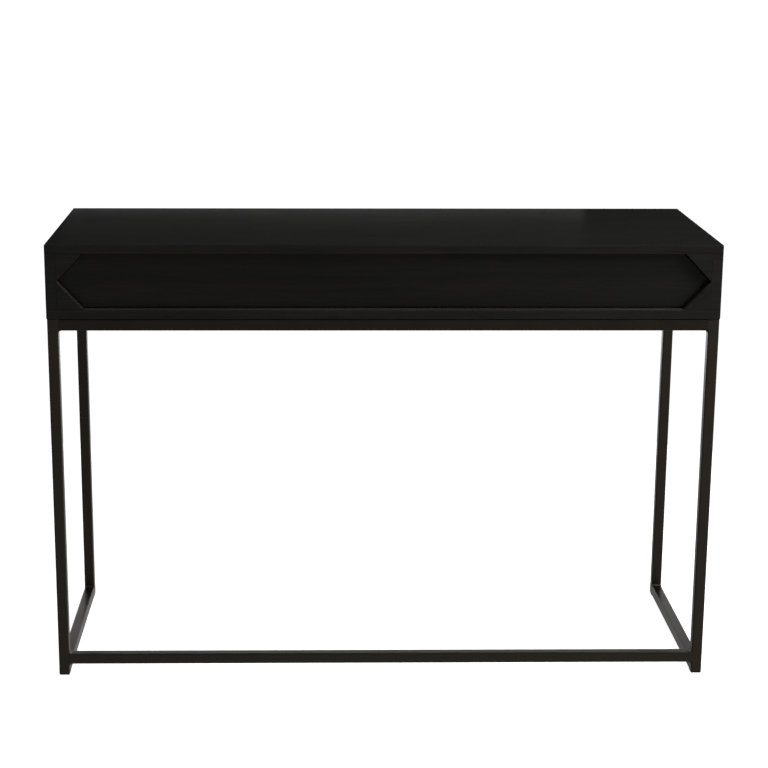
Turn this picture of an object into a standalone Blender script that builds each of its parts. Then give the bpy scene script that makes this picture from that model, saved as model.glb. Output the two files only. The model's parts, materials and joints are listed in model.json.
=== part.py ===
"""Writing desk: a flat wooden case with one wide push-to-open drawer behind a six-sided
recess, standing on a welded frame of square steel tube.

Axes: +X to the right, +Y to the back, +Z up. The origin is on the floor, under the
middle of the desk. The front of the desk faces -Y. All sizes are in metres.
"""

from math import cos, hypot, pi, sin

import bmesh
import bpy
from mathutils import Vector

# ---------------------------------------------------------------- driving dimensions

# whole desk
WIDTH = 1.160
DEPTH = 0.440
HEIGHT = 0.780

# clearance left wherever two pieces touch
CONTACT_GAP = 0.0003

# wooden case
CASE_HEIGHT = 0.129
TOP_THICKNESS = 0.015
BOTTOM_THICKNESS = 0.017
SIDE_THICKNESS = 0.0185
BACK_THICKNESS = 0.008
BACK_INSET = 0.003
CASE_EDGE_EASE = 0.0012

# six-sided opening in the front of the case
CHEVRON_RUN = 0.046
RECESS_DEPTH = 0.015
BLOCK_REACH_BEHIND_FRONT = 0.003

# drawer
DRAWER_FRONT_THICKNESS = 0.016
DRAWER_FRONT_GAP = 0.0012
DRAWER_FRONT_EASE = 0.0005
BOX_LIFT = 0.0105
BOX_HEADROOM = 0.0105
BOX_WALL = 0.012
BOX_SIDE_CLEARANCE = 0.005
BOX_BOTTOM_THICKNESS = 0.006
BOX_EDGE_EASE = 0.001
GROOVE_DEPTH = 0.005
GROOVE_LIFT = 0.008

# drawer slides, three nested channels on each side of the drawer
SLIDE_SETBACK = 0.005
SLIDE_SHEET = 0.0012
SLIDE_WIDTH = 0.0127
SLIDE_NEST_STEP = 0.0012
CABINET_CHANNEL_HEIGHT = 0.043
MIDDLE_CHANNEL_HEIGHT = 0.033
DRAWER_CHANNEL_HEIGHT = 0.024
CABINET_FLANGE = 0.0080
MIDDLE_FLANGE = 0.0074
DRAWER_FLANGE = 0.0076
PACKER_HEIGHT = 0.060

# push latches behind the drawer
LATCH_OFFSET_X = 0.300
LATCH_BODY_LENGTH = 0.038
LATCH_BODY_WIDTH = 0.016
LATCH_BODY_HEIGHT = 0.014
LATCH_STANDOFF = 0.010
PLUNGER_RADIUS = 0.0030
PLUNGER_HEAD_RADIUS = 0.0045
PLUNGER_HEAD_LENGTH = 0.0030
PLUNGER_SHANK_LENGTH = 0.030
PLUNGER_TRAVEL_ROOM = 0.006

# steel frame
TUBE = 0.019
TUBE_WALL = 0.0015
TUBE_CORNER = 0.0020
FRAME_INSET = 0.001
TOP_RAIL_DROP = 0.001
PAD_THICKNESS = 0.0015
PAD_MARGIN = 0.0008
PLUG_FACE = 0.002
PLUG_REACH = 0.012

# tabs and screws that hold the case down on the frame
TAB_LENGTH = 0.040
TAB_REACH = 0.028
TAB_THICKNESS = 0.003
TAB_FROM_LEG = 0.160
TAB_HOLE_FROM_RAIL = 0.016
SCREW_RADIUS = 0.0024
SCREW_HEAD_RADIUS = 0.0048
SCREW_HEAD_HEIGHT = 0.0028
SCREW_BITE = 0.012

# screws that hold the drawer front on the drawer box
FRONT_SCREW_BITE = 0.011
FRONT_SCREW_FROM_END = 0.100
FRONT_SCREW_COUNT = 4

# fineness of round shapes
TUBE_CORNER_STEPS = 3
ROUND_STEPS = 20
EASE_STEPS = 2

# how far a cutter stands out of the face that it cuts
CUTTER_OVERRUN = 0.002

# ---------------------------------------------------------------- places worked out

LEFT, RIGHT = -1, 1
SIDES = {"left": LEFT, "right": RIGHT}

CASE_BOTTOM = HEIGHT - CASE_HEIGHT
CASE_FRONT = -DEPTH / 2
CASE_BACK = DEPTH / 2

OPENING_LOW = CASE_BOTTOM + BOTTOM_THICKNESS
OPENING_HIGH = HEIGHT - TOP_THICKNESS
OPENING_MIDDLE = (OPENING_LOW + OPENING_HIGH) / 2
OPENING_HALF_HEIGHT = (OPENING_HIGH - OPENING_LOW) / 2
OPENING_TIP = WIDTH / 2 - SIDE_THICKNESS

BACK_REAR_FACE = CASE_BACK - BACK_INSET
BACK_FRONT_FACE = BACK_REAR_FACE - BACK_THICKNESS

DRAWER_FACE = CASE_FRONT + RECESS_DEPTH
DRAWER_FRONT_BACK = DRAWER_FACE + DRAWER_FRONT_THICKNESS
BLOCK_BACK = DRAWER_FRONT_BACK + BLOCK_REACH_BEHIND_FRONT

LATCH_BODY_BACK = BACK_FRONT_FACE - CONTACT_GAP
LATCH_BODY_FRONT = LATCH_BODY_BACK - LATCH_BODY_LENGTH
PLUNGER_TIP = LATCH_BODY_FRONT - LATCH_STANDOFF

BOX_FRONT_FACE = DRAWER_FRONT_BACK + CONTACT_GAP
BOX_REAR_FACE = PLUNGER_TIP - CONTACT_GAP
BOX_LOW = OPENING_LOW + BOX_LIFT
BOX_HIGH = OPENING_HIGH - BOX_HEADROOM


def opening_half_width(height_from_middle):
    """Half the width of the six-sided opening at a height above or below its middle."""
    return OPENING_TIP - CHEVRON_RUN * abs(height_from_middle) / OPENING_HALF_HEIGHT


BOX_REACH_FROM_MIDDLE = max(BOX_HIGH - OPENING_MIDDLE, OPENING_MIDDLE - BOX_LOW)
BOX_HALF_WIDTH = opening_half_width(BOX_REACH_FROM_MIDDLE) - BOX_SIDE_CLEARANCE
BOX_INNER_HALF_WIDTH = BOX_HALF_WIDTH - BOX_WALL
GROOVE_LOW = BOX_LOW + GROOVE_LIFT
GROOVE_HIGH = GROOVE_LOW + BOX_BOTTOM_THICKNESS + 2 * CONTACT_GAP

SLIDE_FRONT = BLOCK_BACK + SLIDE_SETBACK
SLIDE_REAR = BOX_REAR_FACE - SLIDE_SETBACK
SLIDE_INNER = BOX_HALF_WIDTH + CONTACT_GAP
SLIDE_OUTER = SLIDE_INNER + SLIDE_WIDTH

FRAME_HALF_WIDTH = WIDTH / 2 - FRAME_INSET
FRAME_FLOOR = PAD_THICKNESS + CONTACT_GAP
RUNNER_TOP = FRAME_FLOOR + TUBE
LEG_TOP = CASE_BOTTOM - CONTACT_GAP
TOP_RAIL_MIDDLE = CASE_BOTTOM - TOP_RAIL_DROP - TUBE / 2
LOW_RAIL_MIDDLE = RUNNER_TOP + TUBE / 2
LEG_X = FRAME_HALF_WIDTH - TUBE / 2
FRONT_LEG_Y = CASE_FRONT + TUBE / 2
REAR_LEG_Y = CASE_BACK - TUBE / 2
RAIL_HALF_LENGTH = FRAME_HALF_WIDTH - TUBE - CONTACT_GAP
RUNNER_FRONT = CASE_FRONT + TUBE + CONTACT_GAP
RUNNER_BACK = CASE_BACK - PLUG_FACE - CONTACT_GAP
TUBE_BORE_HALF = TUBE / 2 - TUBE_WALL

# ---------------------------------------------------------------- scene and materials


def clear_objects():
    """Empty the scene of whatever it holds."""
    for thing in list(bpy.data.objects):
        bpy.data.objects.remove(thing, do_unlink=True)


def new_collection(name):
    """A new collection in the scene."""
    collection = bpy.data.collections.new(name)
    bpy.context.scene.collection.children.link(collection)
    return collection


def material(name, colour, roughness, metallic=0.0):
    """A plain Principled material."""
    made = bpy.data.materials.new(name)
    made.use_nodes = True
    shader = made.node_tree.nodes["Principled BSDF"]
    shader.inputs["Base Color"].default_value = (*colour, 1.0)
    shader.inputs["Roughness"].default_value = roughness
    shader.inputs["Metallic"].default_value = metallic
    made.diffuse_color = (*colour, 1.0)
    return made


clear_objects()
DESK = new_collection("writing_desk")
CUTTERS = new_collection("cutters")

STAINED_WOOD = material("black_stained_wood", (0.018, 0.017, 0.016), 0.42)
BARE_WOOD = material("bare_wood", (0.46, 0.29, 0.16), 0.60)
PLYWOOD = material("plywood", (0.60, 0.44, 0.27), 0.62)
BLACK_STEEL = material("black_coated_steel", (0.021, 0.019, 0.018), 0.45, 0.2)
ZINC_STEEL = material("zinc_plated_steel", (0.55, 0.56, 0.58), 0.32, 1.0)
BLACK_PLASTIC = material("black_plastic", (0.02, 0.02, 0.02), 0.50)
GREY_PLASTIC = material("grey_plastic", (0.36, 0.36, 0.36), 0.48)
FELT = material("felt", (0.015, 0.015, 0.015), 0.95)

# ---------------------------------------------------------------- shape helpers


def add_object(name, mesh, finish, centre, rotation=(0.0, 0.0, 0.0), parent=None):
    """Put a mesh in the desk's collection, with its place given in world axes."""
    thing = bpy.data.objects.new(name, mesh)
    mesh.materials.append(finish)
    DESK.objects.link(thing)
    thing.rotation_euler = rotation
    place = Vector(centre)
    if parent:
        thing.parent = parent
        place = place - parent.location
    thing.location = place
    return thing


def cuboid_mesh(name, size):
    """A box of the given size, centred on its origin."""
    shape = bmesh.new()
    bmesh.ops.create_cube(shape, size=1.0)
    bmesh.ops.scale(shape, vec=size, verts=shape.verts)
    mesh = bpy.data.meshes.new(name)
    shape.to_mesh(mesh)
    shape.free()
    return mesh


def outline_mesh(name, outlines, thickness):
    """A flat outline given thickness along Z; outlines after the first are holes."""
    curve = bpy.data.curves.new(name, "CURVE")
    curve.dimensions = "2D"
    curve.fill_mode = "BOTH"
    curve.extrude = thickness / 2
    for outline in outlines:
        spline = curve.splines.new("POLY")
        spline.points.add(len(outline) - 1)
        for point, (x, y) in zip(spline.points, outline):
            point.co = (x, y, 0.0, 1.0)
        spline.use_cyclic_u = True
    holder = bpy.data.objects.new(name + "_outline", curve)
    DESK.objects.link(holder)
    graph = bpy.context.evaluated_depsgraph_get()
    mesh = bpy.data.meshes.new_from_object(holder.evaluated_get(graph))
    bpy.data.objects.remove(holder, do_unlink=True)
    shape = bmesh.new()
    shape.from_mesh(mesh)
    bmesh.ops.remove_doubles(shape, verts=shape.verts, dist=0.00001)
    bmesh.ops.recalc_face_normals(shape, faces=shape.faces)
    shape.to_mesh(mesh)
    shape.free()
    mesh.name = name
    return mesh


def rounded_square(half, radius, steps):
    """The corner points of a square with rounded corners, anticlockwise."""
    points = []
    for quarter in range(4):
        turn = quarter * pi / 2
        across = half - radius
        middle_x = across * (cos(turn) - sin(turn))
        middle_y = across * (sin(turn) + cos(turn))
        for step in range(steps + 1):
            angle = turn + step / steps * pi / 2
            points.append((middle_x + radius * cos(angle), middle_y + radius * sin(angle)))
    return points


def ease(thing, width, chosen):
    """Round the edges whose middle and direction, in the piece's own axes, are chosen."""
    mesh = thing.data
    weights = mesh.attributes.new("bevel_weight_edge", "FLOAT", "EDGE")
    for edge in mesh.edges:
        start, end = (mesh.vertices[i].co for i in edge.vertices)
        if chosen((start + end) / 2, end - start):
            weights.data[edge.index].value = 1.0
    rounding = thing.modifiers.new("eased_edges", "BEVEL")
    rounding.limit_method = "WEIGHT"
    rounding.width = width
    rounding.segments = EASE_STEPS
    return thing


def board(name, low, high, finish, parent=None):
    """A square-edged board between two corners given in world axes."""
    low, high = Vector(low), Vector(high)
    return add_object(name, cuboid_mesh(name, high - low), finish, (low + high) / 2, parent=parent)


ALONG_X = (0.0, pi / 2, 0.0)
ALONG_Y = (pi / 2, 0.0, 0.0)
ALONG_Z = (0.0, 0.0, 0.0)


def tube(name, centre, length, direction):
    """A length of square tube with rounded corners, open at both ends."""
    outer = rounded_square(TUBE / 2, TUBE_CORNER, TUBE_CORNER_STEPS)
    inner = rounded_square(TUBE_BORE_HALF, TUBE_CORNER - TUBE_WALL, 1)
    mesh = outline_mesh(name, [outer, inner], length)
    return add_object(name, mesh, BLACK_STEEL, centre, direction)


def turned(name, profile, finish, centre, rotation, parent=None):
    """A round piece from its outer profile, radius and height, listed from top to bottom."""
    mesh = bpy.data.meshes.new(name)
    edges = [(i, i + 1) for i in range(len(profile) - 1)]
    mesh.from_pydata([(radius, 0.0, height) for radius, height in profile], edges, [])
    thing = add_object(name, mesh, finish, centre, rotation, parent)
    screw = thing.modifiers.new("turned", "SCREW")
    screw.axis = "Z"
    screw.steps = ROUND_STEPS
    screw.render_steps = ROUND_STEPS
    screw.use_merge_vertices = True
    screw.merge_threshold = 0.00001
    screw.use_smooth_shade = True
    return thing


def cut(thing, cutter):
    """Take the cutter's shape out of a piece."""
    hole = thing.modifiers.new(cutter.name, "BOOLEAN")
    hole.operation = "DIFFERENCE"
    hole.solver = "EXACT"
    hole.object = cutter


def add_cutter(name, mesh, centre, rotation=(0.0, 0.0, 0.0)):
    """A hidden tool shape."""
    tool = bpy.data.objects.new(name, mesh)
    CUTTERS.objects.link(tool)
    tool.location = centre
    tool.rotation_euler = rotation
    tool.display_type = "WIRE"
    tool.hide_render = True
    return tool


def box_cutter(name, low, high):
    """A box-shaped cutter between two corners."""
    low, high = Vector(low), Vector(high)
    return add_cutter(name, cuboid_mesh(name, high - low), (low + high) / 2)


def drill(name, radius, start, end):
    """A round cutter along one axis, from start to end."""
    start, end = Vector(start), Vector(end)
    shape = bmesh.new()
    bmesh.ops.create_cone(
        shape,
        cap_ends=True,
        segments=ROUND_STEPS,
        radius1=radius,
        radius2=radius,
        depth=(end - start).length,
    )
    mesh = bpy.data.meshes.new(name)
    shape.to_mesh(mesh)
    shape.free()
    turn = (end - start).to_track_quat("Z", "Y").to_euler()
    return add_cutter(name, mesh, (start + end) / 2, turn)


def pan_head_screw(name, finish, head_seat, length, rotation, parent=None):
    """A screw whose shank points along its own +Z from the seat of its head."""
    profile = [
        (0.0, length),
        (SCREW_RADIUS * 0.35, length),
        (SCREW_RADIUS, length - SCREW_RADIUS * 1.5),
        (SCREW_RADIUS, 0.0),
        (SCREW_HEAD_RADIUS, 0.0),
        (SCREW_HEAD_RADIUS, -SCREW_HEAD_HEIGHT * 0.45),
        (SCREW_HEAD_RADIUS * 0.82, -SCREW_HEAD_HEIGHT * 0.88),
        (SCREW_HEAD_RADIUS * 0.45, -SCREW_HEAD_HEIGHT),
        (0.0, -SCREW_HEAD_HEIGHT),
    ]
    return turned(name, profile, finish, head_seat, rotation, parent)


# ---------------------------------------------------------------- wooden case


def make_case():
    """The case's panels: top and bottom run the full width, with the rest between them."""
    half_width = WIDTH / 2
    side_low = OPENING_LOW + CONTACT_GAP
    side_high = OPENING_HIGH - CONTACT_GAP
    top = board(
        "top_panel",
        (-half_width, CASE_FRONT, OPENING_HIGH),
        (half_width, CASE_BACK, HEIGHT),
        STAINED_WOOD,
    )
    ease(top, CASE_EDGE_EASE, lambda middle, along: middle.z > 0 or abs(along.z) > 0)
    bottom = board(
        "bottom_panel",
        (-half_width, CASE_FRONT, CASE_BOTTOM),
        (half_width, CASE_BACK, OPENING_LOW),
        STAINED_WOOD,
    )
    ease(bottom, CASE_EDGE_EASE, lambda middle, along: middle.z < 0 or abs(along.z) > 0)
    for name, side in SIDES.items():
        inner, outer = sorted((side * OPENING_TIP, side * half_width))
        panel = board(
            f"{name}_side_panel",
            (inner, CASE_FRONT, side_low),
            (outer, CASE_BACK, side_high),
            STAINED_WOOD,
        )
        ease(
            panel,
            CASE_EDGE_EASE,
            lambda middle, along, side=side: abs(along.z) > 0 and middle.x * side > 0,
        )
    reach = OPENING_TIP - CONTACT_GAP
    board(
        "back_panel",
        (-reach, BACK_FRONT_FACE, side_low),
        (reach, BACK_REAR_FACE, side_high),
        STAINED_WOOD,
    )
    return bottom


def make_corner_blocks():
    """Four three-sided blocks turn the front of the case into a six-sided opening."""
    depth = BLOCK_BACK - CASE_FRONT
    slope = CHEVRON_RUN / OPENING_HALF_HEIGHT
    near_x = OPENING_TIP - CONTACT_GAP
    near_z = OPENING_HALF_HEIGHT - CONTACT_GAP
    point_x = OPENING_TIP - slope * near_z
    point_z = CONTACT_GAP / slope
    for side_name, side in SIDES.items():
        for level_name, level in (("lower", -1), ("upper", 1)):
            corners = [(point_x, near_z), (near_x, near_z), (near_x, point_z)]
            outline = [(side * x, -level * z) for x, z in corners]
            name = f"{level_name}_{side_name}_corner_block"
            mesh = outline_mesh(name, [outline], depth)
            centre = (0.0, CASE_FRONT + depth / 2, OPENING_MIDDLE)
            add_object(name, mesh, STAINED_WOOD, centre, (-pi / 2, 0.0, 0.0))


def make_packers():
    """Wooden packers bring the slides in from the case sides to the drawer's sides."""
    for name, side in SIDES.items():
        inner = side * (SLIDE_OUTER + CONTACT_GAP)
        outer = side * (OPENING_TIP - CONTACT_GAP)
        board(
            f"{name}_slide_packer",
            (min(inner, outer), SLIDE_FRONT, OPENING_MIDDLE - PACKER_HEIGHT / 2),
            (max(inner, outer), SLIDE_REAR, OPENING_MIDDLE + PACKER_HEIGHT / 2),
            BARE_WOOD,
        )


# ---------------------------------------------------------------- drawer slides


def channel(name, web_at, height, flange, side, parent=None):
    """A sheet-metal channel along Y; web_at is its web's place across, as a pair."""
    web_near, web_far = web_at
    half = height / 2
    outline = [
        (web_near, half),
        (web_near, -half),
        (web_near + flange, -half),
        (web_near + flange, -half + SLIDE_SHEET),
        (web_far, -half + SLIDE_SHEET),
        (web_far, half - SLIDE_SHEET),
        (web_near + flange, half - SLIDE_SHEET),
        (web_near + flange, half),
    ]
    outline = [(side * x, z) for x, z in outline]
    mesh = outline_mesh(name, [outline], SLIDE_REAR - SLIDE_FRONT)
    centre = (0.0, (SLIDE_FRONT + SLIDE_REAR) / 2, OPENING_MIDDLE)
    return add_object(name, mesh, ZINC_STEEL, centre, ALONG_Y, parent)


def make_slides(drawer):
    """On each side, three channels, each one nested in the next."""
    cabinet_web = (SLIDE_OUTER, SLIDE_OUTER - SLIDE_SHEET)
    middle_near = cabinet_web[1] - SLIDE_NEST_STEP
    middle_web = (middle_near, middle_near - SLIDE_SHEET)
    drawer_web = (SLIDE_INNER, SLIDE_INNER + SLIDE_SHEET)
    for name, side in SIDES.items():
        channel(f"{name}_slide_cabinet_channel", cabinet_web, CABINET_CHANNEL_HEIGHT, -CABINET_FLANGE, side)
        channel(f"{name}_slide_middle_channel", middle_web, MIDDLE_CHANNEL_HEIGHT, -MIDDLE_FLANGE, side)
        channel(
            f"{name}_slide_drawer_channel", drawer_web, DRAWER_CHANNEL_HEIGHT, DRAWER_FLANGE, side, drawer
        )


# ---------------------------------------------------------------- drawer


def drawer_front_outline():
    """The six-sided opening's outline, drawn in by the gap round the drawer front."""
    half_height = OPENING_HALF_HEIGHT - DRAWER_FRONT_GAP
    chevron_length = hypot(CHEVRON_RUN, OPENING_HALF_HEIGHT)
    tip = OPENING_TIP - DRAWER_FRONT_GAP * chevron_length / OPENING_HALF_HEIGHT
    corner = tip - CHEVRON_RUN * half_height / OPENING_HALF_HEIGHT
    right = [(corner, -half_height), (tip, 0.0), (corner, half_height)]
    return right + [(-x, -z) for x, z in right]


def groove_cutter(name, near, far, side):
    """The groove for the drawer bottom along one drawer side, stopped short of its ends."""
    inner_face = side * BOX_INNER_HALF_WIDTH
    deep = inner_face + side * GROOVE_DEPTH
    proud = inner_face - side * CUTTER_OVERRUN
    stop = BOX_WALL - GROOVE_DEPTH
    return box_cutter(
        name,
        (min(deep, proud), near[1] + stop, GROOVE_LOW),
        (max(deep, proud), far[1] - stop, GROOVE_HIGH),
    )


def on_outline(point):
    """Whether a point of the drawer front's face lies on its outline, not across its face."""
    outline = drawer_front_outline()
    for (x1, z1), (x2, z2) in zip(outline, outline[1:] + outline[:1]):
        length = hypot(x2 - x1, z2 - z1)
        offset = abs((x2 - x1) * (point.y - z1) - (z2 - z1) * (point.x - x1)) / length
        if offset < CONTACT_GAP:
            return True
    return False


def front_screw_places():
    """Places across the drawer of the screws that hold its front."""
    first = FRONT_SCREW_FROM_END - BOX_INNER_HALF_WIDTH
    spacing = -2 * first / (FRONT_SCREW_COUNT - 1)
    return [first + i * spacing for i in range(FRONT_SCREW_COUNT)]


def make_drawer():
    """The drawer: a box with a bottom held in grooves, and a front screwed on from inside."""
    drawer = bpy.data.objects.new("drawer_travel", None)
    DESK.objects.link(drawer)
    drawer.location = (0.0, DRAWER_FACE, OPENING_MIDDLE)

    mesh = outline_mesh("drawer_front", [drawer_front_outline()], DRAWER_FRONT_THICKNESS)
    centre = (0.0, (DRAWER_FACE + DRAWER_FRONT_BACK) / 2, OPENING_MIDDLE)
    front = add_object("drawer_front", mesh, STAINED_WOOD, centre, ALONG_Y, drawer)
    ease(front, DRAWER_FRONT_EASE, lambda middle, along: middle.z > 0 and on_outline(middle))

    for name, side in SIDES.items():
        inner, outer = sorted((side * BOX_INNER_HALF_WIDTH, side * BOX_HALF_WIDTH))
        wall = board(
            f"drawer_{name}_side",
            (inner, BOX_FRONT_FACE, BOX_LOW),
            (outer, BOX_REAR_FACE, BOX_HIGH),
            BARE_WOOD,
            drawer,
        )
        ease(wall, BOX_EDGE_EASE, lambda middle, along: middle.z > 0 and abs(along.y) > 0)
        cut(wall, groove_cutter(f"{name}_groove", (inner, BOX_FRONT_FACE), (outer, BOX_REAR_FACE), side))

    reach = BOX_INNER_HALF_WIDTH - CONTACT_GAP
    box_front = board(
        "drawer_box_front",
        (-reach, BOX_FRONT_FACE, BOX_LOW),
        (reach, BOX_FRONT_FACE + BOX_WALL, BOX_HIGH),
        BARE_WOOD,
        drawer,
    )
    box_back = board(
        "drawer_box_back",
        (-reach, BOX_REAR_FACE - BOX_WALL, BOX_LOW),
        (reach, BOX_REAR_FACE, BOX_HIGH),
        BARE_WOOD,
        drawer,
    )
    groove = box_cutter(
        "front_and_back_groove",
        (-WIDTH / 2, BOX_FRONT_FACE + BOX_WALL - GROOVE_DEPTH, GROOVE_LOW),
        (WIDTH / 2, BOX_REAR_FACE - BOX_WALL + GROOVE_DEPTH, GROOVE_HIGH),
    )
    for wall in (box_front, box_back):
        ease(wall, BOX_EDGE_EASE, lambda middle, along: middle.z > 0 and abs(along.x) > 0)
        cut(wall, groove)

    bottom_reach = BOX_INNER_HALF_WIDTH + GROOVE_DEPTH - CONTACT_GAP
    board(
        "drawer_bottom",
        (-bottom_reach, BOX_FRONT_FACE + BOX_WALL - GROOVE_DEPTH + CONTACT_GAP, GROOVE_LOW + CONTACT_GAP),
        (bottom_reach, BOX_REAR_FACE - BOX_WALL + GROOVE_DEPTH - CONTACT_GAP, GROOVE_HIGH - CONTACT_GAP),
        PLYWOOD,
        drawer,
    )

    head_seat = BOX_FRONT_FACE + BOX_WALL + CONTACT_GAP
    length = BOX_WALL + 2 * CONTACT_GAP + FRONT_SCREW_BITE
    for number, x in enumerate(front_screw_places(), start=1):
        seat = (x, head_seat, OPENING_MIDDLE)
        pan_head_screw(f"drawer_front_screw_{number}", ZINC_STEEL, seat, length, (pi / 2, 0.0, 0.0), drawer)
        hole = drill(
            f"drawer_front_screw_hole_{number}",
            SCREW_RADIUS + CONTACT_GAP,
            (x, head_seat + CUTTER_OVERRUN, OPENING_MIDDLE),
            (x, head_seat - length - CONTACT_GAP, OPENING_MIDDLE),
        )
        cut(box_front, hole)
        cut(front, hole)
    return drawer


# ---------------------------------------------------------------- push latches


def make_push_latches():
    """Two sprung latches on the back panel: a push on the drawer front lets it out."""
    for name, side in SIDES.items():
        x = side * LATCH_OFFSET_X
        body = board(
            f"{name}_latch_body",
            (x - LATCH_BODY_WIDTH / 2, LATCH_BODY_FRONT, OPENING_MIDDLE - LATCH_BODY_HEIGHT / 2),
            (x + LATCH_BODY_WIDTH / 2, LATCH_BODY_BACK, OPENING_MIDDLE + LATCH_BODY_HEIGHT / 2),
            GREY_PLASTIC,
        )
        plunger_end = PLUNGER_TIP + PLUNGER_HEAD_LENGTH + PLUNGER_SHANK_LENGTH
        bore = drill(
            f"{name}_latch_bore",
            PLUNGER_RADIUS + CONTACT_GAP,
            (x, LATCH_BODY_FRONT - CUTTER_OVERRUN, OPENING_MIDDLE),
            (x, plunger_end + PLUNGER_TRAVEL_ROOM, OPENING_MIDDLE),
        )
        cut(body, bore)
        length = PLUNGER_HEAD_LENGTH + PLUNGER_SHANK_LENGTH
        profile = [
            (0.0, length),
            (PLUNGER_HEAD_RADIUS, length),
            (PLUNGER_HEAD_RADIUS, PLUNGER_SHANK_LENGTH),
            (PLUNGER_RADIUS, PLUNGER_SHANK_LENGTH),
            (PLUNGER_RADIUS, 0.0),
            (0.0, 0.0),
        ]
        centre = (x, plunger_end, OPENING_MIDDLE)
        turned(f"{name}_latch_plunger", profile, ZINC_STEEL, centre, (pi / 2, 0.0, 0.0))


# ---------------------------------------------------------------- steel frame


def make_frame():
    """Legs, rails and floor runners of the welded frame, with its plugs and floor pads."""
    top_of_runner = RUNNER_TOP + CONTACT_GAP
    for name, side in SIDES.items():
        x = side * LEG_X
        tube(
            f"front_{name}_leg",
            (x, FRONT_LEG_Y, (FRAME_FLOOR + LEG_TOP) / 2),
            LEG_TOP - FRAME_FLOOR,
            ALONG_Z,
        )
        tube(
            f"rear_{name}_leg",
            (x, REAR_LEG_Y, (top_of_runner + LEG_TOP) / 2),
            LEG_TOP - top_of_runner,
            ALONG_Z,
        )
        tube(
            f"{name}_floor_runner",
            (x, (RUNNER_FRONT + RUNNER_BACK) / 2, FRAME_FLOOR + TUBE / 2),
            RUNNER_BACK - RUNNER_FRONT,
            ALONG_Y,
        )
        side_rail_reach = CASE_BACK - TUBE - CONTACT_GAP
        tube(f"{name}_top_rail", (x, 0.0, TOP_RAIL_MIDDLE), 2 * side_rail_reach, ALONG_Y)
        make_runner_plug(name, x)
        make_pad(f"front_{name}_floor_pad", x, FRONT_LEG_Y)
        make_pad(f"rear_{name}_floor_pad", x, REAR_LEG_Y - PLUG_FACE)
    tube("front_top_rail", (0.0, FRONT_LEG_Y, TOP_RAIL_MIDDLE), 2 * RAIL_HALF_LENGTH, ALONG_X)
    tube("rear_top_rail", (0.0, REAR_LEG_Y, TOP_RAIL_MIDDLE), 2 * RAIL_HALF_LENGTH, ALONG_X)
    tube("front_low_rail", (0.0, FRONT_LEG_Y, LOW_RAIL_MIDDLE), 2 * RAIL_HALF_LENGTH, ALONG_X)


def make_runner_plug(side_name, x):
    """The plastic plug that closes a floor runner's rear end."""
    name = f"{side_name}_runner_plug"
    centre_z = FRAME_FLOOR + TUBE / 2
    half = TUBE_BORE_HALF - CONTACT_GAP
    face = outline_mesh(name, [rounded_square(TUBE / 2, TUBE_CORNER, TUBE_CORNER_STEPS)], PLUG_FACE)
    plug = add_object(name, face, BLACK_PLASTIC, (x, CASE_BACK - PLUG_FACE / 2, centre_z), ALONG_Y)
    stem = box_cutter(
        f"{side_name}_plug_stem",
        (x - half, RUNNER_BACK - PLUG_REACH, centre_z - half),
        (x + half, CASE_BACK - PLUG_FACE / 2, centre_z + half),
    )
    joined = plug.modifiers.new("stem", "BOOLEAN")
    joined.operation = "UNION"
    joined.solver = "EXACT"
    joined.object = stem


def make_pad(name, x, y):
    """A thin felt pad under a foot of the frame."""
    half = TUBE / 2 - PAD_MARGIN
    board(name, (x - half, y - half, 0.0), (x + half, y + half, PAD_THICKNESS), FELT)


def make_tabs(bottom_panel):
    """Steel tabs inside the front and rear rails, each with a screw up into the case."""
    tab_top = LEG_TOP
    tab_bottom = tab_top - TAB_THICKNESS
    screw_length = TAB_THICKNESS + 2 * CONTACT_GAP + SCREW_BITE
    rail_inner_face = CASE_BACK - TUBE
    for side_name, side in SIDES.items():
        x = side * (RAIL_HALF_LENGTH - TAB_FROM_LEG)
        for end_name, end in (("front", -1), ("rear", 1)):
            near = end * (rail_inner_face - CONTACT_GAP)
            far = near - end * TAB_REACH
            hole_y = near - end * TAB_HOLE_FROM_RAIL
            place = f"{end_name}_{side_name}"
            tab = board(
                f"{place}_fixing_tab",
                (x - TAB_LENGTH / 2, min(near, far), tab_bottom),
                (x + TAB_LENGTH / 2, max(near, far), tab_top),
                BLACK_STEEL,
            )
            seat = (x, hole_y, tab_bottom - CONTACT_GAP)
            pan_head_screw(f"{place}_fixing_screw", ZINC_STEEL, seat, screw_length, ALONG_Z)
            hole = drill(
                f"{place}_fixing_hole",
                SCREW_RADIUS + CONTACT_GAP,
                (x, hole_y, tab_bottom - CUTTER_OVERRUN),
                (x, hole_y, tab_bottom + screw_length + CONTACT_GAP),
            )
            cut(tab, hole)
            cut(bottom_panel, hole)


# ---------------------------------------------------------------- the desk


def make_desk():
    """Everything, from the case down to the floor."""
    bottom_panel = make_case()
    make_corner_blocks()
    make_packers()
    drawer = make_drawer()
    make_slides(drawer)
    make_push_latches()
    make_frame()
    make_tabs(bottom_panel)


make_desk()
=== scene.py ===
"""Looks of the black writing desk: its finishes, the welds of its frame, the studio and the camera."""
import json
from math import pi, radians

import bpy
from mathutils import Matrix, Vector


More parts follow.
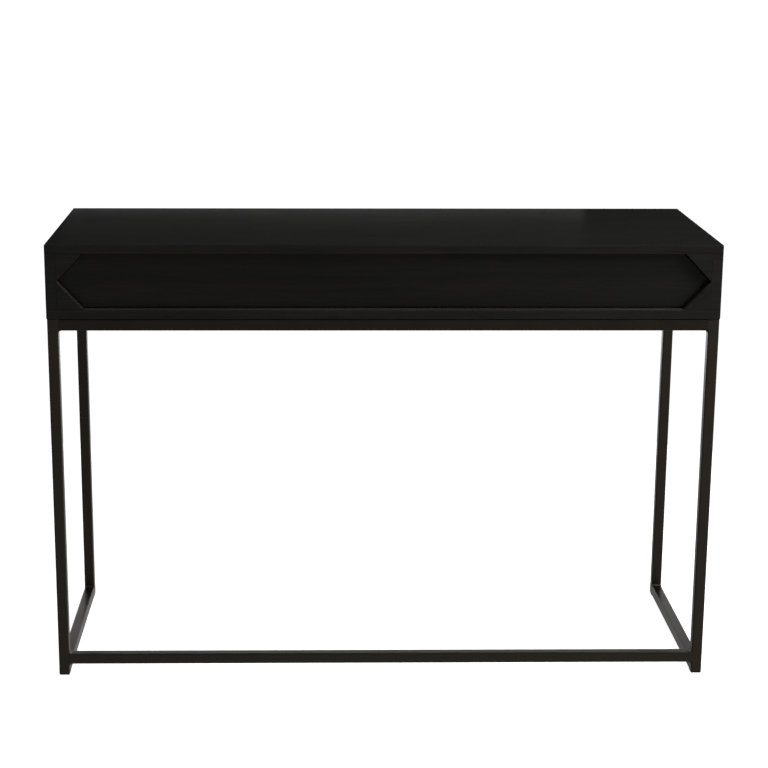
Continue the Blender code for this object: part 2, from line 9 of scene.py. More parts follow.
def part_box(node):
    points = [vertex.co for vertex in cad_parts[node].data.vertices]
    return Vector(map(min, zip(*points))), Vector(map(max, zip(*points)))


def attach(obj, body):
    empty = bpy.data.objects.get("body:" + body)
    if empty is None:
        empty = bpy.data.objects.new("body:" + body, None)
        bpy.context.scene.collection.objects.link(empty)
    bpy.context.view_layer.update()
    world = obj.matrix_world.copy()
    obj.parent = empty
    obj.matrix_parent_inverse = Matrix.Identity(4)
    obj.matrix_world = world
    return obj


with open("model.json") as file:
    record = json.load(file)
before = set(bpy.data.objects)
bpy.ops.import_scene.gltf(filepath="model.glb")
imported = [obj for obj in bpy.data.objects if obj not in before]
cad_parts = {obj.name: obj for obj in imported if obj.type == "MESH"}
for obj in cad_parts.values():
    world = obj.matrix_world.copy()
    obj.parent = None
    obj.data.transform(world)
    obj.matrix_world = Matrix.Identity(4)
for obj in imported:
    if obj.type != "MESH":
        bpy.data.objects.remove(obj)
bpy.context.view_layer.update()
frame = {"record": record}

# ------------------------------------------------------------------ studio sizes

CAMERA_PLACE = (-0.130, -3.537, 1.3156)
CAMERA_TURN_RIGHT = radians(1.09)
CAMERA_LOOK_DOWN = radians(14.73)
CAMERA_ROLL = radians(0.21)
CAMERA_LENS_MM = 92.1
SENSOR_MM = 36.0
CAMERA_SHIFT = (0.0508, 0.0680)

FLOOR_RADIUS = 1.6
FLOOR_GLOW = 0.95
FLOOR_BOUNCE = 0.47
ROOM_ABOVE = 0.03
HORIZON_FROM, HORIZON_TO = -0.14, 0.04
BRIGHTER_TO_THE_RIGHT = 0.8
BACKGROUND_WHITE = 1.05

# ------------------------------------------------------------------ sizes of the small detail

# How far from a glued, welded or covered joint a board or a tube keeps a plain edge.
JOINT_BAND = 0.0022
# How much shorter than the tube a fillet and a ground band are at each end.
SEAM_END = 0.0005
BAND_END = 0.0012
# How far the middle of a ground band lies below the tubes' faces.
BAND_DEPTH = 0.00032
# How near to its face a point counts as lying on the sill, where a highlight is painted, or on a rail's top
# under the case, where shade is painted.
SILL_SKIN = 0.0006
UNDER_CASE_SHADE_SKIN = 0.00012
# Rounding of the wood's edges: most boards, the crisp drawer front, and the sill pieces, whose wider rounding
# also widens their lighter edge.
BOARD_EDGE = 0.0013
DRAWER_FRONT_EDGE = 0.0007
SILL_EDGE = 0.0030
TUBE_EDGE = 0.0012
# The drawer front's colours are divided by this factor, so it is darker than the case.
DRAWER_FRONT_DARKENING = 1.4
# Sheen of the powder coat, on the frame, and lower on the rail under the case as painted shade.
FRAME_SHEEN = 0.42
TOP_RAIL_SHADED_SHEEN = 0.26

# ------------------------------------------------------------------ node helpers


class Nodes:
    """A node tree under construction."""

    prefix = ""

    def node(self, kind, settings=None, **inputs):
        """A new node, with its settings and its inputs given by name."""
        made = self.tree.nodes.new(self.prefix + kind)
        for key, value in (settings or {}).items():
            setattr(made, key, value)
        for key, value in inputs.items():
            self.feed(made.inputs[key.replace("_", " ")], value)
        return made

    def feed(self, socket, value):
        """Link a socket to another node's socket, or set its value."""
        if isinstance(value, bpy.types.NodeSocket):
            self.tree.links.new(value, socket)
        else:
            socket.default_value = value


class Recipe(Nodes):
    """One material's node tree, with short calls for the nodes that every finish uses."""

    prefix = "ShaderNode"

    def __init__(self, name):
        self.material = bpy.data.materials.new(name)
        self.material.use_nodes = True
        self.tree = self.material.node_tree
        self.shader = self.tree.nodes["Principled BSDF"]
        self.coordinates = self.tree.nodes.new("ShaderNodeTexCoord")

    def stretched(self, scale, turn=(0.0, 0.0, 0.0), shift=(0.0, 0.0, 0.0)):
        """The piece's own coordinates, scaled and shifted."""
        mapping = self.node("Mapping", Scale=scale, Rotation=turn, Location=shift)
        self.feed(mapping.inputs["Vector"], self.coordinates.outputs["Object"])
        return mapping.outputs["Vector"]

    def noise(self, vector, scale, detail=4.0, roughness=0.55, distortion=0.0):
        """A noise value from 0 to 1."""
        made = self.node(
            "TexNoise", Vector=vector, Scale=scale, Detail=detail, Roughness=roughness, Distortion=distortion
        )
        return made.outputs["Fac"]

    def spread(self, value, low, high, to_low=0.0, to_high=1.0):
        """A value taken from one range to another, held at the ends."""
        made = self.node("MapRange", {"clamp": True})
        for name, number in (("Value", value), ("From Min", low), ("From Max", high)):
            self.feed(made.inputs[name], number)
        self.feed(made.inputs["To Min"], to_low)
        self.feed(made.inputs["To Max"], to_high)
        return made.outputs["Result"]

    def math(self, operation, first, second=0.0):
        """One sum on two values."""
        made = self.node("Math", {"operation": operation})
        self.feed(made.inputs[0], first)
        self.feed(made.inputs[1], second)
        return made.outputs[0]

    def places(self):
        """The X, Y and Z of the piece's own coordinates, by their names."""
        parts = self.node("SeparateXYZ")
        self.feed(parts.inputs[0], self.coordinates.outputs["Object"])
        return parts.outputs

    def near(self, value, target, band):
        """1 where a value is within a band of a target, else 0."""
        made = self.node("Math", {"operation": "COMPARE"})
        for socket, number in zip(made.inputs, (value, target, band)):
            self.feed(socket, number)
        return made.outputs[0]

    def mixed(self, share, first, second):
        """A colour between two colours."""
        made = self.node("Mix", {"data_type": "RGBA"})
        self.feed(made.inputs["Factor"], share)
        self.feed(made.inputs["A"], first)
        self.feed(made.inputs["B"], second)
        return made.outputs["Result"]

    def bumped(self, height, strength, distance, below=None):
        """A normal raised by a height value."""
        made = self.node("Bump", Height=height, Strength=strength, Distance=distance)
        if below:
            self.feed(made.inputs["Normal"], below)
        return made.outputs["Normal"]

    def finish(self, colour, roughness, normal=None, **constants):
        """Feed the shader; constants are values that are the same all over."""
        self.feed(self.shader.inputs["Base Color"], colour)
        self.feed(self.shader.inputs["Roughness"], roughness)
        if normal:
            self.feed(self.shader.inputs["Normal"], normal)
        for key, value in constants.items():
            self.shader.inputs[key.replace("_", " ")].default_value = value
        return self.material


def colour(red, green, blue, brightness=1.0):
    """An opaque colour, made lighter or darker by a factor."""
    return (red * brightness, green * brightness, blue * brightness, 1.0)


# ------------------------------------------------------------------ finishes

GRAIN_ALONG_X = (0.0, 0.0, 0.0)
GRAIN_ALONG_Y = (0.0, 0.0, pi / 2)
EVEN = (1.0, 1.0, 1.0)
SILL_PIECES = ("bottom_panel", "lower_left_corner_block", "lower_right_corner_block")


def joint_lines(recipe):
    """1 along the glued joints of the case, where the boards are flush and keep no edge of their own."""
    tip_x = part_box("right_side_panel")[0].x
    corner_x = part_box("upper_right_corner_block")[0].x
    ceiling_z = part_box("top_panel")[0].z
    sill_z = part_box("bottom_panel")[1].z
    place = recipe.places()
    across = recipe.math("ABSOLUTE", place["X"])
    upright = recipe.near(across, tip_x, JOINT_BAND)
    beyond = recipe.math("GREATER_THAN", across, corner_x)
    level = recipe.math(
        "MAXIMUM",
        recipe.near(place["Z"], ceiling_z, JOINT_BAND),
        recipe.near(place["Z"], sill_z, JOINT_BAND),
    )
    glued = recipe.math("MAXIMUM", upright, recipe.math("MULTIPLY", beyond, level))
    on_frame = recipe.near(place["Z"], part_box("bottom_panel")[0].z, JOINT_BAND)
    return recipe.math("MAXIMUM", glued, on_frame)


def sill_faces(recipe):
    """1 on the sill under the drawer front and the two slopes beside it, where a lighter colour is painted as
    a highlight.
    """
    low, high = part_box("upper_right_corner_block")
    sill_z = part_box("bottom_panel")[1].z
    slope = (high.x - low.x) / (high.z - low.z)
    place = recipe.places()
    across = recipe.math("ABSOLUTE", place["X"])
    below = recipe.math("SUBTRACT", low.z, place["Z"])
    leaning = recipe.math("ADD", across, recipe.math("MULTIPLY", below, slope))
    above = recipe.math("GREATER_THAN", place["Z"], sill_z)
    slopes = recipe.math("MULTIPLY", recipe.near(leaning, high.x, SILL_SKIN), above)
    between = recipe.math("LESS_THAN", across, low.x)
    sill = recipe.math("MULTIPLY", recipe.near(place["Z"], sill_z, SILL_SKIN), between)
    return recipe.math("MAXIMUM", slopes, sill)


def eased_edges(recipe, radius, breakup, low, high, kept=None):
    """How strongly a place is lightened, from 0 to 1 and only near edges, and the normal that rounds those
    edges.
    """
    rounded = recipe.node("Bevel", {"samples": 6}, Radius=radius).outputs["Normal"]
    plain = recipe.node("NewGeometry").outputs["Normal"]
    if kept is not None:
        blend = recipe.node("Mix", {"data_type": "VECTOR"}, Factor=kept)
        recipe.feed(blend.inputs[4], plain)
        recipe.feed(blend.inputs[5], rounded)
        rounded = blend.outputs[1]
    turned = recipe.node("VectorMath", {"operation": "DOT_PRODUCT"})
    recipe.feed(turned.inputs[0], rounded)
    recipe.feed(turned.inputs[1], plain)
    edge = recipe.spread(turned.outputs["Value"], 0.98, 0.80)
    return recipe.math("MULTIPLY", edge, recipe.spread(breakup, low, high)), rounded


def black_stained_wood(name, turn, shift, rub, painted_sill_highlight=False, strength=1.0):
    """Open-grained wood under black stain and a thin satin lacquer, lighter along its edges: partly rubbed
    wear, partly a painted highlight.
    """
    recipe = Recipe(name)
    figure = recipe.noise(
        recipe.stretched((1.3, 11.0, 11.0), turn, shift), 1.6, detail=5.0, roughness=0.6, distortion=0.8
    )
    streaks = recipe.noise(
        recipe.stretched((3.2, 120.0, 120.0), turn, shift), 1.5, detail=6.0, roughness=0.68
    )
    pores = recipe.noise(recipe.stretched((26.0, 720.0, 720.0), turn, shift), 1.2, detail=2.0)
    clouds = recipe.noise(recipe.stretched((1.6, 3.0, 3.0), turn, shift), 1.3, detail=3.0)
    open_pore = recipe.spread(pores, 0.54, 0.66)
    kept = recipe.math("SUBTRACT", 1.0, joint_lines(recipe))
    edge_lightening, rounded = eased_edges(recipe, rub, streaks, 0.36, 0.56, kept)
    # Colours are divided by strength, which darkens the drawer front.
    deep = colour(0.0078, 0.0073, 0.0071, 1.0 / strength)
    light = colour(0.0140, 0.0128, 0.0119, 1.0 / strength)
    streak = colour(0.0215, 0.0189, 0.0167, 1.0 / strength)
    cloud = colour(0.0150, 0.0148, 0.0150, 1.0 / strength)
    stain = recipe.mixed(recipe.spread(figure, 0.32, 0.70), deep, light)
    stain = recipe.mixed(recipe.spread(streaks, 0.42, 0.70, 0.0, 0.5), stain, streak)
    stain = recipe.mixed(recipe.spread(clouds, 0.42, 0.72, 0.0, 0.4), stain, cloud)
    stain = recipe.mixed(recipe.math("MULTIPLY", open_pore, 0.5), stain, colour(0.0045, 0.0042, 0.0042))
    # Lighter edges: partly real rubbed wear, partly a painted highlight where the arrises catch light; wider
    # on the sill pieces.
    stain = recipe.mixed(recipe.math("MULTIPLY", edge_lightening, 0.75), stain, colour(0.0600, 0.0510, 0.0430))
    if painted_sill_highlight:
        # Painted highlight: a lighter, streaked colour on the sill and its slopes, where light catches them.
        bare = recipe.math("MULTIPLY", sill_faces(recipe), recipe.spread(streaks, 0.3, 0.6, 0.35, 1.0))
        stain = recipe.mixed(bare, stain, colour(0.0470, 0.0420, 0.0370))
    satin = recipe.spread(streaks, 0.3, 0.7, 0.30, 0.38)
    satin = recipe.math("ADD", satin, recipe.math("MULTIPLY", open_pore, 0.10))
    satin = recipe.math("ADD", satin, recipe.spread(clouds, 0.35, 0.7, -0.02, 0.04))
    relief = recipe.math("SUBTRACT", recipe.math("MULTIPLY", streaks, 0.5), open_pore)
    normal = recipe.bumped(relief, 0.30, 0.00010, rounded)
    return recipe.finish(
        stain, satin, normal, Specular_IOR_Level=0.15, Specular_Tint=colour(1.0, 0.96, 0.92)
    )


def black_powder_coat(name, seams=(), gloss=FRAME_SHEEN):
    """Fine-textured satin powder coat on steel, rubbed brighter along its edges.

    Each seam is an axis and a distance along it, where a tube is welded and ground flush or lies against the
    case, and so shows no edge of its own.
    """
    recipe = Recipe(name)
    skin = recipe.noise(recipe.stretched(EVEN), 900.0, detail=3.0)
    patches = recipe.noise(recipe.stretched(EVEN), 14.0, detail=4.0)
    place = recipe.places()
    kept = None
    for axis, distance in seams:
        away = recipe.near(recipe.math("ABSOLUTE", place[axis]), distance, JOINT_BAND)
        clear = recipe.math("SUBTRACT", 1.0, away)
        kept = clear if kept is None else recipe.math("MULTIPLY", kept, clear)
    edge_lightening, rounded = eased_edges(recipe, TUBE_EDGE, patches, 0.45, 0.62, kept)
    paint = recipe.mixed(
        recipe.spread(patches, 0.35, 0.7), colour(0.0085, 0.0058, 0.0040), colour(0.0130, 0.0095, 0.0068)
    )
    paint = recipe.mixed(recipe.math("MULTIPLY", edge_lightening, 0.45), paint, colour(0.0650, 0.0520, 0.0420))
    satin = recipe.spread(patches, 0.3, 0.7, 0.31, 0.40)
    # Painted shade: the rails' top faces under the case are painted near black, and made rough.
    shade_under_case = recipe.near(place["Z"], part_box("front_top_rail")[1].z, UNDER_CASE_SHADE_SKIN)
    satin = recipe.math("MAXIMUM", satin, recipe.math("MULTIPLY", shade_under_case, 0.95))
    paint = recipe.mixed(shade_under_case, paint, colour(0.0015, 0.0012, 0.0010))
    normal = recipe.bumped(skin, 0.25, 0.00008, rounded)
    return recipe.finish(
        paint, satin, normal, Specular_IOR_Level=gloss, Specular_Tint=colour(1.0, 0.90, 0.77)
    )


def steel_for(node):
    """The powder coat of one steel node, with its welded ends and the edges under the case left unrounded."""
    inner = ("X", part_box("front_right_leg")[0].x)
    between = ("Y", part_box("rear_right_leg")[0].y)
    under_case = ("Z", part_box("front_top_rail")[1].z)
    if node == "front_low_rail":
        seams = [inner]
    elif node in ("front_top_rail", "rear_top_rail"):
        seams = [inner, under_case]
    elif node in ("left_top_rail", "right_top_rail"):
        seams = [between, under_case]
    elif node.endswith("runner"):
        seams = [between]
    elif node.startswith("rear") and node.endswith("leg"):
        seams = [("Z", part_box("right_floor_runner")[1].z), under_case]
    elif node.endswith("leg"):
        seams = [under_case]
    else:
        return None
    # The rail under the case gets a lower sheen than the rest of the frame, a darker copy as painted shade.
    gloss = TOP_RAIL_SHADED_SHEEN if node == "front_top_rail" else FRAME_SHEEN
    return black_powder_coat(f"powder_coat_{node}", seams, gloss)


def bare_wood():
    """Planed and oiled hardwood of the drawer box and the packers."""
    recipe = Recipe("bare_wood")
    figure = recipe.noise(recipe.stretched((3.0, 3.0, 60.0)), 1.5, detail=6.0, roughness=0.62, distortion=0.8)
    streaks = recipe.noise(recipe.stretched((9.0, 9.0, 420.0)), 1.3, detail=4.0)
    wood = recipe.mixed(
        recipe.spread(figure, 0.30, 0.72), colour(0.33, 0.185, 0.092), colour(0.52, 0.335, 0.190)
    )
    wood = recipe.mixed(recipe.spread(streaks, 0.5, 0.75, 0.0, 0.45), wood, colour(0.20, 0.105, 0.052))
    normal = recipe.bumped(streaks, 0.30, 0.00015)
    return recipe.finish(wood, recipe.spread(figure, 0.3, 0.7, 0.50, 0.62), normal, Specular_IOR_Level=0.35)


def birch_plywood():
    """Sanded birch plywood of the drawer bottom."""
    recipe = Recipe("birch_plywood")
    figure = recipe.noise(recipe.stretched((2.4, 14.0, 40.0)), 1.5, detail=6.0, roughness=0.6, distortion=1.4)
    flecks = recipe.noise(recipe.stretched((60.0, 600.0, 600.0)), 1.2, detail=2.0)
    wood = recipe.mixed(
        recipe.spread(figure, 0.3, 0.7), colour(0.55, 0.385, 0.225), colour(0.69, 0.53, 0.345)
    )
    wood = recipe.mixed(recipe.spread(flecks, 0.56, 0.70, 0.0, 0.5), wood, colour(0.42, 0.27, 0.14))
    normal = recipe.bumped(flecks, 0.2, 0.0001)
    return recipe.finish(wood, recipe.spread(figure, 0.3, 0.7, 0.52, 0.62), normal, Specular_IOR_Level=0.3)


def zinc_plate():
    """Bright zinc plating with faint rolling lines."""
    recipe = Recipe("zinc_plate")
    lines = recipe.noise(recipe.stretched((900.0, 12.0, 900.0)), 1.0, detail=3.0)
    bloom = recipe.noise(recipe.stretched(EVEN), 60.0, detail=4.0)
    plate = recipe.mixed(
        recipe.spread(bloom, 0.35, 0.7), colour(0.50, 0.51, 0.52), colour(0.66, 0.67, 0.69)
    )
    normal = recipe.bumped(lines, 0.08, 0.00005)
    return recipe.finish(plate, recipe.spread(bloom, 0.3, 0.7, 0.26, 0.38), normal, Metallic=1.0)


def moulded_plastic(name, dark, light):
    """Matte moulded plastic with a fine spark texture."""
    recipe = Recipe(name)
    grain = recipe.noise(recipe.stretched(EVEN), 1500.0, detail=2.0)
    tone = recipe.noise(recipe.stretched(EVEN), 90.0, detail=3.0)
    body = recipe.mixed(recipe.spread(tone, 0.3, 0.7), dark, light)
    normal = recipe.bumped(grain, 0.25, 0.00008)
    return recipe.finish(body, recipe.spread(tone, 0.3, 0.7, 0.48, 0.58), normal, Specular_IOR_Level=0.4)


def pressed_felt():
    """Pressed black felt."""
    recipe = Recipe("pressed_felt")
    fibres = recipe.noise(recipe.stretched(EVEN), 1800.0, detail=5.0, roughness=0.7)
    body = recipe.mixed(
        recipe.spread(fibres, 0.35, 0.7), colour(0.003, 0.003, 0.003), colour(0.009, 0.009, 0.009)
    )
    normal = recipe.bumped(fibres, 0.8, 0.0003)
    return recipe.finish(body, 0.95, normal, Specular_IOR_Level=0.05, Sheen_Weight=0.02)


# ------------------------------------------------------------------ dressing the CAD nodes


def dress(node, material):
    """Give a CAD node its finished material."""
    for slot in bpy.data.objects[node].material_slots:
        slot.material = material


def dress_desk():
    """Dress every CAD node, and return the finishes by their slots."""
    steel = black_powder_coat("black_powder_coat")
    bare = bare_wood()
    ply = birch_plywood()
    zinc = zinc_plate()
    grey = moulded_plastic("grey_plastic", colour(0.30, 0.30, 0.30), colour(0.36, 0.36, 0.355))
    black = moulded_plastic("black_plastic", colour(0.013, 0.013, 0.013), colour(0.020, 0.020, 0.020))
    felt = pressed_felt()
    by_slot = {
        "bare_wood": bare,
        "plywood": ply,
        "black_steel": steel,
        "zinc_steel": zinc,
        "grey_plastic": grey,
        "black_plastic": black,
        "felt": felt,
    }
    for number, entry in enumerate(frame["record"]["subparts"]):
        node, slot = entry["node"], entry["material_slot"]
        if slot == "stained_wood":
            turn = GRAIN_ALONG_Y if "side_panel" in node else GRAIN_ALONG_X
            shift = (0.37 * number, 0.61 * number, 0.23 * number)
            sill_piece = node in SILL_PIECES
            rub = SILL_EDGE if sill_piece else BOARD_EDGE
            strength = 1.0
            if node == "drawer_front":
                rub = DRAWER_FRONT_EDGE
                strength = DRAWER_FRONT_DARKENING
            dress(node, black_stained_wood(f"stained_{node}", turn, shift, rub, sill_piece, strength))
        elif slot == "black_steel":
            dress(node, steel_for(node) or steel)
        else:
            dress(node, by_slot[slot])
    return by_slot


# ------------------------------------------------------------------ welds


class Assembly(Nodes):
    """A Geometry Nodes tree under construction, with named inputs for its sizes."""

    def __init__(self, name):
        self.tree = bpy.data.node_groups.new(name, "GeometryNodeTree")
        self.inputs = {}
        self.tree.interface.new_socket("Geometry", in_out="INPUT", socket_type="NodeSocketGeometry")
        self.tree.interface.new_socket("Geometry", in_out="OUTPUT", socket_type="NodeSocketGeometry")
        self.start = self.tree.nodes.new("NodeGroupInput")
        self.end = self.tree.nodes.new("NodeGroupOutput")

    def size(self, name, kind="NodeSocketFloat"):
        """A named input of the tree, as the socket that its nodes read."""
        socket = self.tree.interface.new_socket(name, in_out="INPUT", socket_type=kind)
        self.inputs[name] = socket.identifier
        return self.start.outputs[name]

    def math(self, operation, first, second=0.0):
        """One sum on two values."""
        made = self.node("ShaderNodeMath", {"operation": operation})
        self.feed(made.inputs[0], first)
        self.feed(made.inputs[1], second)
        return made.outputs[0]

    def named(self, name, kind="FLOAT"):
        """An attribute that the starting points carry."""
        made = self.node("GeometryNodeInputNamedAttribute", {"data_type": kind}, Name=name)
        return made.outputs["Attribute"]

    def parts(self, vector):
        """The three parts of a vector."""
        made = self.node("ShaderNodeSeparateXYZ")
        self.feed(made.inputs[0], vector)
        return made.outputs[0], made.outputs[1], made.outputs[2]

    def close(self, geometry, material):
        """End the tree: real geometry with one material."""
        real = self.node("GeometryNodeRealizeInstances", Geometry=geometry)
        dressed = self.node("GeometryNodeSetMaterial", Geometry=real.outputs[0], Material=material)
        self.tree.links.new(dressed.outputs[0], self.end.inputs[0])


def grown(name, assembly, start, sizes, body):
    """Run an assembly on a starting mesh and keep the result as a plain mesh that rides on a body."""
    seed = bpy.data.objects.new(name + "_start", start)
    bpy.context.scene.collection.objects.link(seed)
    modifier = seed.modifiers.new(name, "NODES")
    modifier.node_group = assembly.tree
    for key, value in sizes.items():
        modifier[assembly.inputs[key]] = value
    evaluated = seed.evaluated_get(bpy.context.evaluated_depsgraph_get())
    mesh = bpy.data.meshes.new_from_object(evaluated)
    mesh.name = name
    seed.modifiers.remove(modifier)
    bpy.data.objects.remove(seed)
    piece = bpy.data.objects.new(name, mesh)
    bpy.context.scene.collection.objects.link(piece)
    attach(piece, body)


def weld_starts(name, seams):
    """A mesh with one point for each seam, which carries the seam's directions and length."""
    mesh = bpy.data.meshes.new(name)
    mesh.from_pydata([seam[0] for seam in seams], [], [])
    for kind, label in (("FLOAT_VECTOR", "along"), ("FLOAT_VECTOR", "side"), ("FLOAT", "length")):
        mesh.attributes.new(label, kind, "POINT")
    values = mesh.attributes
    for number, (_, first, second, run) in enumerate(seams):
        values["side"].data[number].vector = first
        values["along"].data[number].vector = Vector(first).cross(Vector(second))
        values["length"].data[number].value = run
    return mesh


def run_of_metal(name, rings, around, material, outline):
    """A tree that lays a round-ended run of weld metal on each starting point.

    outline(assembly, x, y) gives the reach of the section from its corner, in metres, for a unit direction.
    """
    assembly = Assembly(name)
    ripple = assembly.size("Ripple share")
    pitch = assembly.size("Ripple pitch")
    seed = assembly.size("Seed")
    bar = assembly.node(
        "GeometryNodeMeshCylinder",
        {"fill_type": "TRIANGLE_FAN"},
        Vertices=around,
        Side_Segments=rings,
        Radius=1.0,
        Depth=1.0,
    )
    placed = assembly.node("GeometryNodeInstanceOnPoints", Points=assembly.start.outputs["Geometry"])
    turned = assembly.node("FunctionNodeAxesToRotation", {"primary_axis": "Z", "secondary_axis": "X"})
    assembly.feed(turned.inputs[0], assembly.named("along", "FLOAT_VECTOR"))
    assembly.feed(turned.inputs[1], assembly.named("side", "FLOAT_VECTOR"))
    stretch = assembly.node("ShaderNodeCombineXYZ", X=1.0, Y=1.0)
    assembly.feed(stretch.inputs[2], assembly.named("length"))
    x, y, z = assembly.parts(assembly.node("GeometryNodeInputPosition").outputs[0])
    reach = outline(assembly, x, y)
    phase = assembly.math("ADD", assembly.math("MULTIPLY", z, pitch), seed)
    wave = assembly.math("MULTIPLY", assembly.math("SINE", phase), ripple)
    reach = assembly.math("MULTIPLY", reach, assembly.math("ADD", 1.0, wave))
    moved = assembly.node("ShaderNodeCombineXYZ")
    assembly.feed(moved.inputs[0], assembly.math("MULTIPLY", x, reach))
    assembly.feed(moved.inputs[1], assembly.math("MULTIPLY", y, reach))
    assembly.feed(moved.inputs[2], z)
    shaped = assembly.node(
        "GeometryNodeSetPosition", Geometry=bar.outputs["Mesh"], Position=moved.outputs[0]
    )
    smooth = assembly.node("GeometryNodeSetShadeSmooth", Geometry=shaped.outputs[0])
    assembly.feed(smooth.inputs["Shade Smooth"], True)
    assembly.feed(placed.inputs["Instance"], smooth.outputs[0])
    assembly.feed(placed.inputs["Rotation"], turned.outputs[0])
    assembly.feed(placed.inputs["Scale"], stretch.outputs[0])
    assembly.close(placed.outputs[0], material)
    return assembly


def hollow_fillet(assembly, x, y):
    """The section of a fillet weld: a hollow quarter round between two faces, and a small root behind."""
    leg = assembly.size("Leg length")
    root = assembly.size("Root depth")
    both = assembly.math("MULTIPLY", x, y)
    hollow = assembly.math("SQRT", assembly.math("MAXIMUM", assembly.math("MULTIPLY", both, 2.0), 0.0))
    quarter = assembly.math("SUBTRACT", assembly.math("ADD", x, y), hollow)
    lowest = assembly.math("MINIMUM", x, y)
    inside = assembly.math("GREATER_THAN", lowest, -0.01)
    front = assembly.math("MULTIPLY", assembly.math("MULTIPLY", quarter, leg), inside)
    back = assembly.math("MULTIPLY", root, assembly.math("SUBTRACT", 1.0, inside))
    return assembly.math("ADD", front, back)


def ground_band(assembly, x, y):
    """The section of a weld ground flush: a low wide hump."""
    half = assembly.size("Half width")
    proud = assembly.size("Crown height")
    wide = assembly.math("DIVIDE", assembly.math("ABSOLUTE", y), half)
    tall = assembly.math("DIVIDE", assembly.math("ABSOLUTE", x), proud)
    squares = assembly.math(
        "ADD", assembly.math("POWER", wide, 2.0), assembly.math("POWER", tall, 2.0)
    )
    return assembly.math("DIVIDE", 1.0, assembly.math("SQRT", squares))


def frame_fillets():
    """The inner corners of the steel frame, each as its middle, its two open directions and its length."""
    seams = []
    up, down = (0, 0, 1), (0, 0, -1)
    for side, inner, facing in (("left", 1, (1, 0, 0)), ("right", 0, (-1, 0, 0))):
        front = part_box(f"front_{side}_leg")
        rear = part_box(f"rear_{side}_leg")
        top_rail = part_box(f"{side}_top_rail")
        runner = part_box(f"{side}_floor_runner")
        middle_x = (front[0].x + front[1].x) / 2
        run = front[1].x - front[0].x - 2 * SEAM_END
        for rail, leg, levels in (
            ("front_low_rail", front, ((1, up), (0, down))),
            ("front_top_rail", front, ((0, down),)),
            ("rear_top_rail", rear, ((0, down),)),
        ):
            for level, rising in levels:
                corner = (leg[inner].x, (leg[0].y + leg[1].y) / 2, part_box(rail)[level].z)
                seams.append((corner, facing, rising, run))
        for leg, end, away in ((front, 1, (0, 1, 0)), (rear, 0, (0, -1, 0))):
            seams.append(((middle_x, leg[end].y, top_rail[0].z), away, down, run))
            seams.append(((middle_x, leg[end].y, runner[1].z), away, up, run))
    return seams


def frame_bands():
    """The flush butt joints of the frame, each with its outward face, its way across and its length."""
    seams = []
    for side, inner, outward in (("left", 1, (-1, 0, 0)), ("right", 0, (1, 0, 0))):
        inward = (-outward[0], 0, 0)
        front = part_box(f"front_{side}_leg")
        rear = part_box(f"rear_{side}_leg")
        top_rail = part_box(f"{side}_top_rail")
        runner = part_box(f"{side}_floor_runner")
        outer = 1 - inner
        run = front[1].x - front[0].x - 2 * BAND_END
        for rail, leg in (("front_low_rail", front), ("front_top_rail", front), ("rear_top_rail", rear)):
            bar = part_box(rail)
            height = (bar[0].z + bar[1].z) / 2
            for face, way in ((0, (0, -1, 0)), (1, (0, 1, 0))):
                seams.append(((leg[inner].x, leg[face].y, height), way, (1, 0, 0), run))
        for bar, leg, end in (
            (top_rail, front, 1),
            (top_rail, rear, 0),
            (runner, front, 1),
        ):
            height = (bar[0].z + bar[1].z) / 2
            for face, way in ((outer, outward), (inner, inward)):
                seams.append(((leg[face].x, leg[end].y, height), way, (0, 1, 0), run))
        middle_x, middle_y = (rear[0].x + rear[1].x) / 2, (rear[0].y + rear[1].y) / 2
        for face, way in ((outer, outward), (inner, inward)):
            seams.append(((rear[face].x, middle_y, runner[1].z), way, (0, 0, 1), run))
        seams.append(((middle_x, rear[1].y, runner[1].z), (0, 1, 0), (0, 0, 1), run))
    return seams


def sunk(seams, depth):
    """The same seams, moved inwards, so that the ground metal ends just below the tubes' faces."""
    return [(Vector(place) - Vector(out) * depth, out, across, run) for place, out, across, run in seams]


def weld_frame(steel):
    """Fillet welds in the frame's inner corners and ground bands over its flush joints."""
    fillets = run_of_metal("fillet_weld", 44, 20, steel, hollow_fillet)
    grown(
        "frame_fillet_welds",
        fillets,
        weld_starts("fillet_seams", frame_fillets()),
        {
            "Leg length": 0.0045,
            "Root depth": 0.0004,
            "Ripple share": 0.035,
            "Ripple pitch": 62.0,
            "Seed": 3.0,
        },
        "desk",
    )
    bands = run_of_metal("ground_weld", 20, 24, steel, ground_band)
    grown(
        "frame_ground_welds",
        bands,
        weld_starts("band_seams", sunk(frame_bands(), BAND_DEPTH)),
        {
            "Half width": 0.0016,
            "Crown height": 0.00030,
            "Ripple share": 0.05,
            "Ripple pitch": 21.0,
            "Seed": 7.0,
        },
        "desk",
    )


# ------------------------------------------------------------------ studio


def pale_floor():
    """A round piece of plain pale floor. Only the camera sees it: the world below stands for its bounce."""
    bpy.ops.mesh.primitive_circle_add(vertices=96, radius=FLOOR_RADIUS, fill_type="NGON")
    floor = bpy.context.object
    floor.name = "studio_floor"
    floor.visible_diffuse = False
    floor.visible_glossy = False
    recipe = Recipe("pale_floor")
    tone = recipe.noise(recipe.stretched(EVEN), 2.0, detail=2.0)
    paint = recipe.mixed(tone, colour(0.93, 0.93, 0.93), colour(0.95, 0.95, 0.95))
    floor.data.materials.append(
        recipe.finish(
            paint,
            0.9,
            Specular_IOR_Level=0.0,
            Emission_Color=colour(1.0, 1.0, 1.0),
            Emission_Strength=FLOOR_GLOW,
        )
    )


def soft_box(name, place, target, size, radiance, tint=(1.0, 1.0, 1.0)):
    """A rectangular soft light aimed at a point, with its brightness per area and its colour."""
    light = bpy.data.lights.new(name, "AREA")
    light.shape = "RECTANGLE"
    light.size, light.size_y = size
    light.energy = radiance * pi * size[0] * size[1]
    light.color = tint
    lamp = bpy.data.objects.new(name, light)
    lamp.location = place
    aim = Vector(target) - Vector(place)
    lamp.rotation_euler = aim.to_track_quat("-Z", "Y").to_euler()
    lamp.visible_camera = False
    bpy.context.scene.collection.objects.link(lamp)


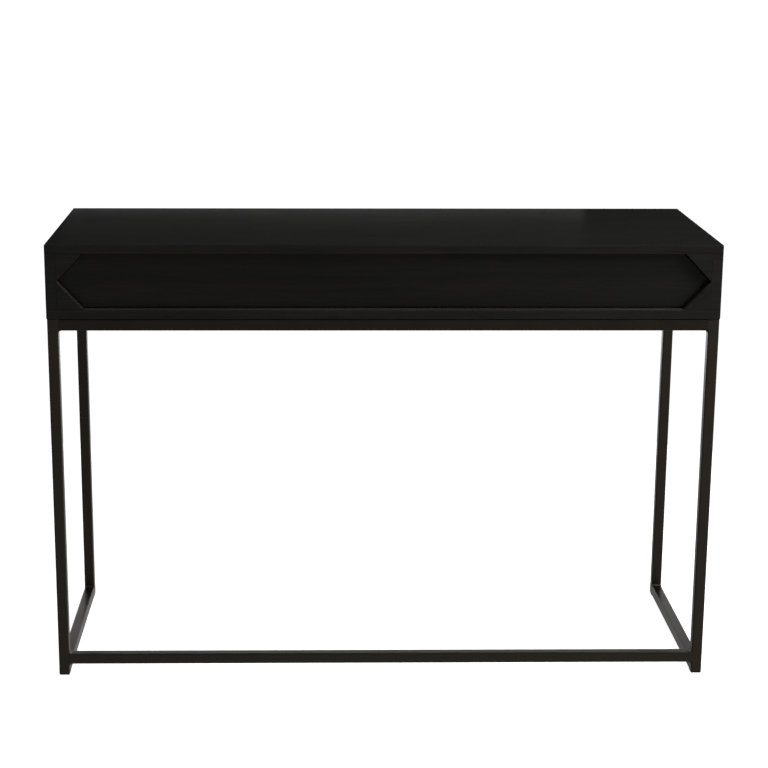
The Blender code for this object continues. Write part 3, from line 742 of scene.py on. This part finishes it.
def pale_room():
    """A dim room above and the soft bounce of a pale floor below; the camera sees it as plain white."""
    world = bpy.data.worlds.new("pale_room")
    world.use_nodes = True
    tree = world.node_tree
    room = tree.nodes["Background"]
    place = tree.nodes.new("ShaderNodeTexCoord")
    parts = tree.nodes.new("ShaderNodeSeparateXYZ")
    ramp = tree.nodes.new("ShaderNodeMapRange")
    seen = tree.nodes.new("ShaderNodeLightPath")
    plain = tree.nodes.new("ShaderNodeMix")
    lean = tree.nodes.new("ShaderNodeMapRange")
    product = tree.nodes.new("ShaderNodeMath")
    product.operation = "MULTIPLY"
    lean.inputs["From Min"].default_value = -1.0
    lean.inputs["To Min"].default_value = 1.0 - BRIGHTER_TO_THE_RIGHT
    lean.inputs["To Max"].default_value = 1.0 + BRIGHTER_TO_THE_RIGHT
    ramp.inputs["From Min"].default_value = HORIZON_FROM
    ramp.inputs["From Max"].default_value = HORIZON_TO
    ramp.inputs["To Min"].default_value = FLOOR_BOUNCE
    ramp.inputs["To Max"].default_value = ROOM_ABOVE
    plain.inputs["B"].default_value = BACKGROUND_WHITE
    tree.links.new(place.outputs["Generated"], parts.inputs["Vector"])
    tree.links.new(parts.outputs["Z"], ramp.inputs["Value"])
    tree.links.new(seen.outputs["Is Camera Ray"], plain.inputs["Factor"])
    tree.links.new(parts.outputs["X"], lean.inputs["Value"])
    tree.links.new(ramp.outputs["Result"], product.inputs[0])
    tree.links.new(lean.outputs["Result"], product.inputs[1])
    tree.links.new(product.outputs[0], plain.inputs["A"])
    tree.links.new(plain.outputs["Result"], room.inputs["Strength"])
    room.inputs["Color"].default_value = (1.0, 1.0, 1.0, 1.0)
    bpy.context.scene.world = world


def studio_light():
    """Soft boxes overhead and high on the right, low behind, along the back edge, and one on either side."""
    pale_room()
    soft_box("overhead_box", (0.8, -1.3, 3.5), (0.8, -1.3, 0.0), (5.4, 4.6), 0.68)
    soft_box("right_high_box", (1.9, -1.2, 1.9), (0.2, 0.0, 0.75), (1.2, 1.2), 9.6, (0.90, 0.97, 1.0))
    soft_box("low_back_box", (0.0, 2.4, 0.39), (0.0, 0.0, 0.39), (3.6, 0.78), 1.5)
    soft_box("back_edge_strip", (-0.10, 0.36, 0.796), (-0.10, 0.0, 0.79), (1.04, 0.02), 0.34)
    soft_box("front_right_box", (2.6, -2.8, 1.5), (0.2, 0.0, 0.5), (1.4, 1.4), 0.6)
    soft_box("front_left_box", (-2.8, -2.6, 1.5), (-0.2, 0.0, 0.5), (1.4, 1.4), 0.4)


def place_camera():
    """The camera, with its height, distance, turn and lens as named values."""
    lens = bpy.data.cameras.new("camera")
    lens.lens = CAMERA_LENS_MM
    lens.sensor_width = SENSOR_MM
    lens.shift_x, lens.shift_y = CAMERA_SHIFT
    camera = bpy.data.objects.new("camera", lens)
    aim = Matrix.Rotation(-CAMERA_TURN_RIGHT, 4, "Z") @ Matrix.Rotation(pi / 2 - CAMERA_LOOK_DOWN, 4, "X")
    camera.matrix_world = (
        Matrix.Translation(CAMERA_PLACE) @ aim @ Matrix.Rotation(CAMERA_ROLL, 4, "Z")
    )
    bpy.context.scene.collection.objects.link(camera)
    bpy.context.scene.camera = camera


finishes = dress_desk()
weld_frame(finishes["black_steel"])
pale_floor()
studio_light()
place_camera()
bpy.context.scene.view_settings.view_transform = "Standard"
